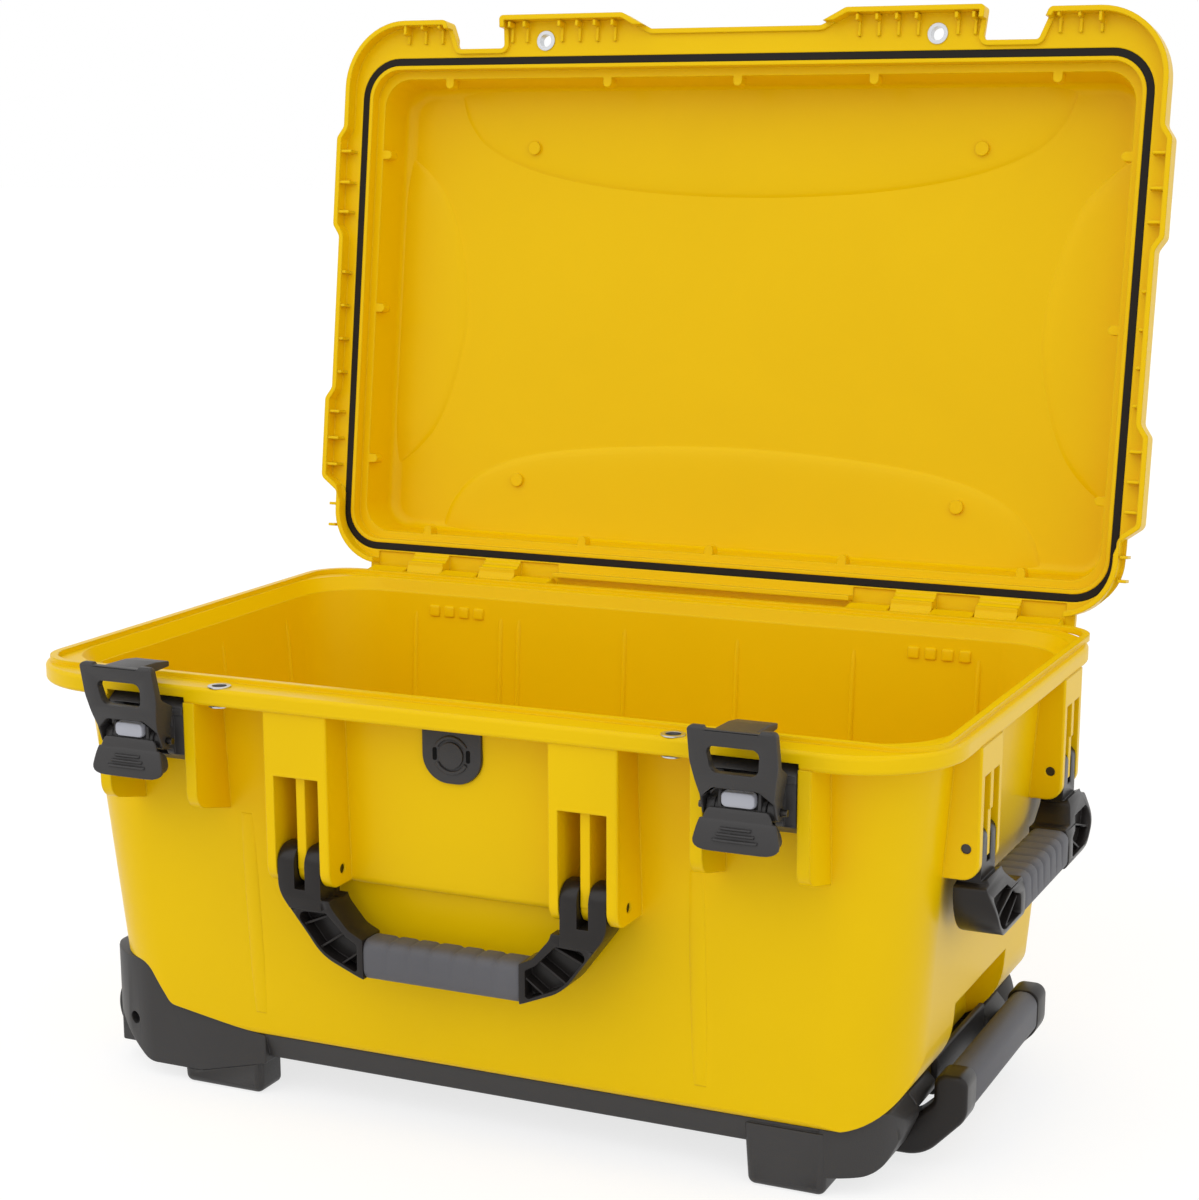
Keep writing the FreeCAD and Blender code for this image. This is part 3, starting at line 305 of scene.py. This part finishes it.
def on_ceiling(x, w, rise):
    """Point on the open lid's ceiling: along the hinge, away from it, and raised into the lid."""
    d = ceiling_depth - rise
    return (x, ceiling_foot_y + w * math.sin(lid_lean) + d * math.cos(lid_lean),
            ceiling_foot_z + w * math.cos(lid_lean) - d * math.sin(lid_lean))


def smooth_line(points, steps):
    """Curve through the points, evenly split between each two."""
    line = []
    for i in range(len(points) - 1):
        a, b, c, d = (points[max(0, min(len(points) - 1, i + k))] for k in (-1, 0, 1, 2))
        for step in range(steps):
            t = step / steps
            line.append(tuple(0.5 * (2 * b[k] + (c[k] - a[k]) * t
                                     + (2 * a[k] - 5 * b[k] + 4 * c[k] - d[k]) * t * t
                                     + (3 * b[k] - a[k] - 3 * c[k] + d[k]) * t ** 3) for k in (0, 1)))
    return line + [points[-1]]


pad_swell = ((-2, -0.4), (0, 0.0), (1.2, 0.7), (3, 1.4), (7, 2.0), (14, 2.4), (26, 2.6), (None, 2.6))
pad_full_span = 30.0
pad_reach = 0.98
pad_steps = 6


def ceiling_pad(name, edge, root):
    """Shallow pad that swells softly from a curved edge and runs into the lid's wall at its root."""
    line = smooth_line(edge, pad_steps)
    roots = smooth_line(root, len(line) // (len(root) - 1))
    mesh = bpy.data.meshes.new(name)
    shape = bmesh.new()
    rows = []
    for k, point in enumerate(line):
        far = roots[min(len(roots) - 1, round(k * (len(roots) - 1) / (len(line) - 1)))]
        span = max(1.0, math.dist(point, far))
        full = min(1.0, span / pad_full_span)
        row = []
        for run, rise in pad_swell:
            share = 1.0 if run is None else min(pad_reach, run * full / span)
            x = point[0] + (far[0] - point[0]) * share
            w = point[1] + (far[1] - point[1]) * share
            row.append(shape.verts.new(placed(*on_ceiling(x, w, rise * full if rise > 0 else rise))))
        rows.append(row)
    for low, high in zip(rows, rows[1:]):
        for i in range(len(low) - 1):
            shape.faces.new((low[i], low[i + 1], high[i + 1], high[i]))
    shape.normal_update()
    into = Vector((0, -math.cos(lid_lean), math.sin(lid_lean)))
    for face in shape.faces:
        if face.normal.dot(into) < 0:
            face.normal_flip()
    shape.to_mesh(mesh)
    shape.free()
    settled(name, mesh, yellow, "lid")


ceiling_pad("lid_pad_top",
            [(-238, 347), (-229, 322), (-207, 301), (-160, 284), (-90, 273), (0, 269), (90, 273), (160, 284),
             (207, 301), (229, 322), (238, 347)],
            [(-239, 349), (0, 349), (239, 349)])
ceiling_pad("lid_pad_low",
            [(-236, 13), (-227, 38), (-205, 60), (-160, 76), (-90, 85), (0, 89), (90, 85), (160, 76),
             (205, 60), (227, 38), (236, 13)],
            [(-237, 11), (0, 11), (237, 11)])
for side in (-1, 1):
    ceiling_pad("lid_pad_" + ("left" if side < 0 else "right"),
                [(side * x, w) for x, w in ((278, 62), (260, 76), (244, 96), (231, 130), (223, 180),
                                            (231, 230), (244, 264), (260, 284), (278, 298))],
                [(side * 280, 62), (side * 280, 180), (side * 280, 298)])

# Lid seal: a solid rubber cord, nearly black and dull. It is pressed into the groove along the lid's
# flange and meets the tub's rim when the lid is shut.
seal_rubber = moulding("Seal rubber",
                       deep=(0.010, 0.008, 0.006), pale=(0.017, 0.014, 0.011),
                       edge=(0.03, 0.028, 0.025, 0.3), rough=(0.62, 0.75), grain=700.0, bump=0.2,
                       radius=0.001, shine=0.2)
wear(seal_rubber, "lid_gasket")

# Hinge pins and padlock eyelets: turned stainless steel, the pins pressed into the knuckles and the
# eyelets flared into the flange and the rim.
steel = moulding("Steel",
                 deep=(0.52, 0.53, 0.55), pale=(0.62, 0.63, 0.65), edge=(0.75, 0.75, 0.76, 0.5),
                 rough=(0.22, 0.34), grain=1600.0, bump=0.06, radius=0.0004, metallic=1.0)
for side in ("left", "right"):
    wear(steel, "hinge_pin_" + side, "tub_eyelet_" + side, "lid_eyelet_" + side)


# Latches: glass-filled nylon in charcoal with a matt skin. A claw and a release lever share one steel
# pin in a block on the front wall, and a grey lock button sits in the lever.
charcoal = moulding("Charcoal plastic",
                    deep=(0.026, 0.024, 0.024), pale=(0.039, 0.037, 0.037),
                    edge=(0.085, 0.083, 0.083, 0.5), rough=(0.40, 0.52), grain=1100.0, bump=0.16,
                    radius=0.0008, shine=0.4)
button_grey = moulding("Grey button",
                       deep=(0.36, 0.37, 0.42), pale=(0.44, 0.45, 0.50), edge=(0.52, 0.53, 0.57, 0.4),
                       rough=(0.34, 0.42), grain=1200.0, bump=0.06, radius=0.0008)
blackened_steel = moulding("Blackened steel",
                           deep=(0.055, 0.05, 0.047), pale=(0.08, 0.075, 0.07),
                           edge=(0.2, 0.19, 0.18, 0.4), rough=(0.34, 0.46), grain=1500.0, bump=0.06,
                           radius=0.0004, metallic=1.0)
weld = 1e-6
flat_angle = math.radians(0.6)
hard_angle = math.radians(34)
round_steps = 2
round_profile = 0.55


def softened(node, width, material):
    """Copy of a CAD piece with its sharp outer edges rounded by a width in millimetres."""
    mesh = nodes[node].data.copy()
    shape = bmesh.new()
    shape.from_mesh(mesh)
    bmesh.ops.remove_doubles(shape, verts=shape.verts, dist=weld)
    bmesh.ops.dissolve_limit(shape, angle_limit=flat_angle, verts=shape.verts, edges=shape.edges)
    edges = [edge for edge in shape.edges
             if edge.is_manifold and edge.is_convex and edge.calc_face_angle() > hard_angle]
    bmesh.ops.bevel(shape, geom=edges, offset=width / 1000, offset_type="OFFSET",
                    segments=round_steps, profile=round_profile, affect="EDGES", clamp_overlap=False)
    shape.to_mesh(mesh)
    shape.free()
    members = frame["record"]["behaviour"]["bodies"].items()
    piece = settled(node + "_moulded", mesh, material, next(body for body, held in members if node in held))
    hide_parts(node)
    wear(material, node)


latch_x = 196.0
latch_round = 0.7
lever_half = 25.0
lever_bow = 1.2
lever_rows = ((224.2, 15.0, -225.6, 1.4), (224.5, 19.0, -226.1, 2.0), (225.2, 21.8, -226.3, 2.6),
              (226.3, 23.7, -226.3, 3.0), (227.8, 24.8, -226.1, 3.2), (229.6, 25.0, -225.8, 3.2),
              (233.0, 24.3, -225.1, 3.2), (236.8, 23.4, -224.2, 3.2), (239.4, 22.6, -223.3, 2.9),
              (240.9, 21.9, -222.8, 2.3), (241.4, 20.0, -222.6, 2.2), (244.4, 19.0, -221.9, 2.2),
              (246.6, 17.8, -221.5, 2.0), (247.3, 16.6, -221.1, 1.2))
lever_edge_share = 0.45
ridge_rows = ((9.0, 237.0), (11.0, 233.8), (13.0, 230.6))
ridge_rise = 0.8
ridge_end = 0.1
ridge_root = 0.3
ridge_taper = 1.2
ridge_section = ((-0.2, -0.9), (1.0, -0.5), (1.35, 0.0), (1.0, 0.5), (-0.2, 0.9))


def lever_front(z):
    """Front of a lever's face at a height. Its rows are (height, half width, front, thickness)."""
    for (low, _, y1, _), (high, _, y2, _) in zip(lever_rows, lever_rows[1:]):
        if low <= z <= high:
            return y1 + (y2 - y1) * (z - low) / (high - low)


def lever_face(name, middle, body):
    """Bowed paddle of a release lever, from under the lock button to its rounded lip, with ridges."""
    rings = []
    for z, wide, front, thick in lever_rows:
        rings.append([(middle + u, front + thick / 2 + v + lever_bow * (u / lever_half) ** 2, z)
                      for u, v in rounded_box(wide, thick / 2, thick * lever_edge_share)])
    lofted(name, rings, charcoal, body)
    for count, (half, z) in enumerate(ridge_rows):
        rings = []
        for u, rise in ((-half, ridge_end), (-half + ridge_taper, ridge_rise), (0.0, ridge_rise),
                        (half - ridge_taper, ridge_rise), (half, ridge_end)):
            front = lever_front(z) + lever_bow * (u / lever_half) ** 2
            rings.append([(middle + u, front + ridge_root - rise * out, z + up)
                          for out, up in ridge_section])
        lofted("%s_ridge_%d" % (name, count), rings, charcoal, body)


button_z = 252.5
button_round = 2.8
button_steps = ((9.9, 4.4, -216.5), (9.9, 4.4, -219.6), (9.4, 4.0, -220.7), (8.0, 2.9, -221.2))
for side, middle in (("left", -latch_x), ("right", latch_x)):
    for name in ("latch_base_", "latch_claw_", "latch_lever_"):
        softened(name + side, latch_round, charcoal)
    rings = []
    for wide, high, y in button_steps:
        rings.append([(middle + u, y, button_z + v) for u, v in rounded_box(wide, high, button_round)])
    button = lofted("lock_button_" + side, rings, button_grey, "button_" + side)
    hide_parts("latch_button_" + side)
    wear(button_grey, "latch_button_" + side)
    wear(blackened_steel, "latch_pin_" + side)
    lever_face("lever_face_" + side, middle, "lever_" + side)

# Carry handles: nylon frames with two prongs at each end, hung on steel pins in the brackets, and a
# softer rubber-like grip moulded round the bar with shallow finger grooves.
black_nylon = moulding("Black nylon",
                       deep=(0.011, 0.009, 0.008), pale=(0.018, 0.015, 0.014),
                       edge=(0.06, 0.056, 0.052, 0.5), rough=(0.26, 0.38), grain=1100.0, bump=0.1,
                       radius=0.0008, shine=0.28)
grip_rubber = moulding("Soft grip",
                       deep=(0.088, 0.088, 0.098), pale=(0.118, 0.118, 0.130),
                       edge=(0.16, 0.16, 0.17, 0.45), rough=(0.5, 0.64), grain=900.0, bump=0.2,
                       radius=0.001, shine=0.35)
grip_grooves = (-36.0, -22.0, -8.0, 8.0, 22.0, 36.0)
groove_width = 1.6
groove_stations = (-3.4, -2.1, -1.0, 0.0, 1.0, 2.1, 3.4)
groove_fade = 5.0
grip_flats = (-44.0, -15.0, 0.0, 15.0, 44.0)
grip_half = 51.9
grip_tall = 12.4
grip_round = 6.0
grip_end = 1.2
grip_end_round = 0.5


def grip_sleeve(place, deep, cut, at):
    """Sleeve of a half depth round a handle's bar, its finger grooves cut over the top. The function at
    gives the point along the bar, across it and up."""
    stations = {-grip_half, -grip_half + grip_end, grip_half - grip_end, grip_half}
    stations.update(grip_flats)
    for middle in grip_grooves:
        stations.update(middle + step for step in groove_stations)
    rings = []
    for u in sorted(stations):
        near = min(abs(u - middle) for middle in grip_grooves)
        groove = cut * math.exp(-(near / groove_width) ** 2)
        edge = grip_end_round if abs(u) == grip_half else 0.0
        ring = []
        for d, v in rounded_box(deep - edge, grip_tall - edge, grip_round):
            share = groove * min(1.0, max(0.0, (v + groove_fade) / (2 * groove_fade)))
            ring.append(at(u, d * (1.0 - share / deep), v - share * max(0.0, v) / grip_tall))
        rings.append(ring)
    sleeve = lofted(place + "_grip_sleeve", rings, grip_rubber, "handle_" + place)
    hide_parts(place + "_handle_grip")
    wear(grip_rubber, place + "_handle_grip")


front_bar_y = -186.0
front_bar_z = 119.5
right_bar_x = 299.0
right_bar_z = 164.7
frame_round = 0.45
for place in ("front", "right"):
    softened(place + "_handle_frame", frame_round, black_nylon)
    wear(blackened_steel, place + "_handle_pins")
grip_sleeve("front", deep=10.6, cut=0.9, at=lambda u, d, v: (u, front_bar_y + d, front_bar_z + v))
grip_sleeve("right", deep=12.6, cut=1.3, at=lambda u, d, v: (right_bar_x - d, u, right_bar_z + v))

# Pressure valve: a charcoal nylon plate let into the front wall under the rim, with a round vent cap
# screwed in from outside. A raised ring in two arcs surrounds the cap. Two near-black pads beside it are
# painted shade that stands in for the dark insides of the two slots.
valve_round = 0.7
cap_round = 0.5
softened("valve_body", valve_round, charcoal)
softened("valve_cap", cap_round, charcoal)
valve_face = -177.6
valve_z = 247.0
# Painted shade: a near-black finish for thin pads on the valve face, standing in for the shadowed slot
# openings.
painted_slot_shade = moulding("Vent slot painted shade",
                      deep=(0.004, 0.004, 0.004), pale=(0.006, 0.006, 0.006),
                      edge=(0.01, 0.01, 0.01, 0.2), rough=(0.7, 0.8), grain=800.0, bump=0.05,
                      radius=0.0005, shine=0.1)
ring_section = ((9.4, 0.3), (9.6, -0.9), (10.2, -1.3), (11.2, -1.3), (11.8, -0.9), (12.0, 0.3))
arc_sweep = 124.0
arc_steps = 16
for name, start in (("upper", 28.0), ("lower", 208.0)):
    rings = []
    for step in range(arc_steps + 1):
        turn = math.radians(start + arc_sweep * step / arc_steps)
        rings.append([(r * math.cos(turn), valve_face + lift, valve_z + r * math.sin(turn))
                      for r, lift in ring_section])
    lofted("valve_ring_" + name, rings, charcoal, "tub")
slot_x = 11.0
slot_half_wide = 1.3
slot_half_tall = 3.8
slot_round = 1.0
# Two thin pads painted with slot shade, laid on the valve face; no opening is cut.
for side in (-1, 1):
    rings = []
    for grow, lift in ((1.0, 0.2), (1.0, -0.25), (0.8, -0.35)):
        rings.append([(side * slot_x + u, valve_face + lift, valve_z + v)
                      for u, v in rounded_box(slot_half_wide * grow, slot_half_tall * grow, slot_round)])
    lofted("vent_slot_painted_shade_" + ("left" if side < 0 else "right"), rings, painted_slot_shade, "tub")

# Base: a charcoal nylon tray with feet, wheel housings and the seats of the rail guides. It is screwed
# under the tub from below with steel screws.
base_round = 1.0
softened("base_frame", base_round, charcoal)
wear(steel, "base_screws")

# Wheels: solid rubber tyres pressed on nylon hubs. They turn on steel axles that are held in the
# housings at the left end of the base.
tyre_rubber = moulding("Tyre rubber",
                       deep=(0.018, 0.018, 0.018), pale=(0.03, 0.03, 0.03), edge=(0.05, 0.05, 0.05, 0.4),
                       rough=(0.65, 0.8), grain=600.0, bump=0.3, radius=0.001)
wheel_round = 0.6
for end in ("front", "rear"):
    softened("wheel_hub_" + end, wheel_round, charcoal)
    softened("wheel_tyre_" + end, wheel_round, tyre_rubber)
    wear(steel, "wheel_axle_" + end)

# Pull handle: drawn aluminium rails that slide in aluminium guides, a nylon yoke on their ends and a
# soft sleeve round its bar.
aluminium = moulding("Drawn aluminium",
                     deep=(0.62, 0.63, 0.65), pale=(0.72, 0.73, 0.74), edge=(0.8, 0.8, 0.8, 0.4),
                     rough=(0.28, 0.4), grain=1300.0, bump=0.08, radius=0.0004, metallic=1.0)
for end in ("front", "rear"):
    wear(aluminium, "rail_guide_" + end, "pull_rail_" + end)
pull_round = 0.9
softened("pull_yoke", pull_round, black_nylon)
softened("pull_grip", pull_round, grip_rubber)

# Floor: a wide sheet of white paper. The camera sees it dull but glowing, so that it stays white round
# the case and keeps a faint shadow. Bounced light meets plain bright paper.
paper_half = 20
paper_glow = 0.75
paper_bouncing = (0.82, 0.82, 0.82, 1)
paper_seen = (0.32, 0.32, 0.32, 1)
paper_mesh = bpy.data.meshes.new("studio_floor")
paper_mesh.from_pydata([(-paper_half, -paper_half, 0), (paper_half, -paper_half, 0),
                        (paper_half, paper_half, 0), (-paper_half, paper_half, 0)], [], [(0, 1, 2, 3)])
paper = bpy.data.objects.new("studio_floor", paper_mesh)
bpy.context.scene.collection.objects.link(paper)
sweep = bpy.data.materials.new("White paper")
sweep.use_nodes = True
tree = sweep.node_tree
surface = tree.nodes["Principled BSDF"]
surface.inputs["Roughness"].default_value = 0.9
surface.inputs["Specular IOR Level"].default_value = 0.0
ray = tree.nodes.new("ShaderNodeLightPath")
seen = value_at(tree, "ShaderNodeMath", operation="MAXIMUM")
tree.links.new(ray.outputs["Is Camera Ray"], seen.inputs[0])
tree.links.new(ray.outputs["Is Glossy Ray"], seen.inputs[1])
paper_tone = mixed(tree, "RGBA", seen.outputs[0], paper_bouncing, paper_seen)
tree.links.new(paper_tone, surface.inputs["Base Color"])
lift = value_at(tree, "ShaderNodeMath", operation="MULTIPLY")
lift.inputs[1].default_value = paper_glow
tree.links.new(seen.outputs[0], lift.inputs[0])
glow = value_at(tree, "ShaderNodeEmission")
tree.links.new(lift.outputs[0], glow.inputs["Strength"])
both = tree.nodes.new("ShaderNodeAddShader")
tree.links.new(surface.outputs[0], both.inputs[0])
tree.links.new(glow.outputs[0], both.inputs[1])
tree.links.new(both.outputs[0], tree.nodes["Material Output"].inputs["Surface"])
paper_mesh.materials.append(sweep)

# Light: an even white room, a little stronger from the sides than from above, with two broad suns at
# the front for the soft shading of the photograph.
side_light = 1.02
top_light = 0.68
world = bpy.data.worlds.new("Studio")
bpy.context.scene.world = world
world.use_nodes = True
tree = world.node_tree
backdrop = tree.nodes["Background"]
ray = tree.nodes.new("ShaderNodeLightPath")
seen = value_at(tree, "ShaderNodeMath", operation="MAXIMUM")
tree.links.new(ray.outputs["Is Camera Ray"], seen.inputs[0])
through = value_at(tree, "ShaderNodeMath", operation="MAXIMUM")
tree.links.new(ray.outputs["Is Glossy Ray"], through.inputs[0])
tree.links.new(ray.outputs["Is Transmission Ray"], through.inputs[1])
tree.links.new(through.outputs[0], seen.inputs[1])
way = tree.nodes.new("ShaderNodeTexCoord")
height = tree.nodes.new("ShaderNodeSeparateXYZ")
tree.links.new(way.outputs["Generated"], height.inputs[0])
falloff = value_at(tree, "ShaderNodeMapRange", **{"To Min": side_light, "To Max": top_light})
tree.links.new(height.outputs["Z"], falloff.inputs["Value"])
strength = mixed(tree, "FLOAT", seen.outputs[0], falloff.outputs[0], 1.0)
tree.links.new(strength, backdrop.inputs["Strength"])
backdrop.inputs["Color"].default_value = (1, 1, 1, 1)


def sun(name, energy, angle, turn):
    """Broad, even lamp without falloff, its breadth and turn in degrees."""
    lamp = bpy.data.lights.new(name, "SUN")
    lamp.energy = energy
    lamp.angle = math.radians(angle)
    holder = bpy.data.objects.new(name, lamp)
    holder.rotation_euler = Euler([math.radians(a) for a in turn])
    bpy.context.scene.collection.objects.link(holder)


sun("key", energy=0.6, angle=60, turn=(42, 0, -30))
sun("fill", energy=0.3, angle=70, turn=(60, 0, 60))

# Camera: stands at the front right of the case, where the photograph's own edges put it. A long lens,
# shifted so that uprights and frame agree with the photograph.
camera_place = Vector((0.6559, -1.4534, 0.6036))
camera_heading = math.radians(24.73)
camera_tilt = math.radians(76.57)
camera_roll = math.radians(-0.16)
eye = bpy.data.cameras.new("photograph")
eye.lens = 73.92
eye.sensor_width = 36.0
eye.shift_x = 0.0101
eye.shift_y = 0.0966
eye.clip_end = 60
viewer = bpy.data.objects.new("photograph", eye)
turn = Matrix.Rotation(camera_heading, 4, "Z") @ Matrix.Rotation(camera_tilt, 4, "X")
turn = turn @ Matrix.Rotation(camera_roll, 4, "Z")
viewer.matrix_world = Matrix.Translation(camera_place) @ turn
bpy.context.scene.collection.objects.link(viewer)
bpy.context.scene.camera = viewer
bpy.context.scene.view_settings.view_transform = "Standard"
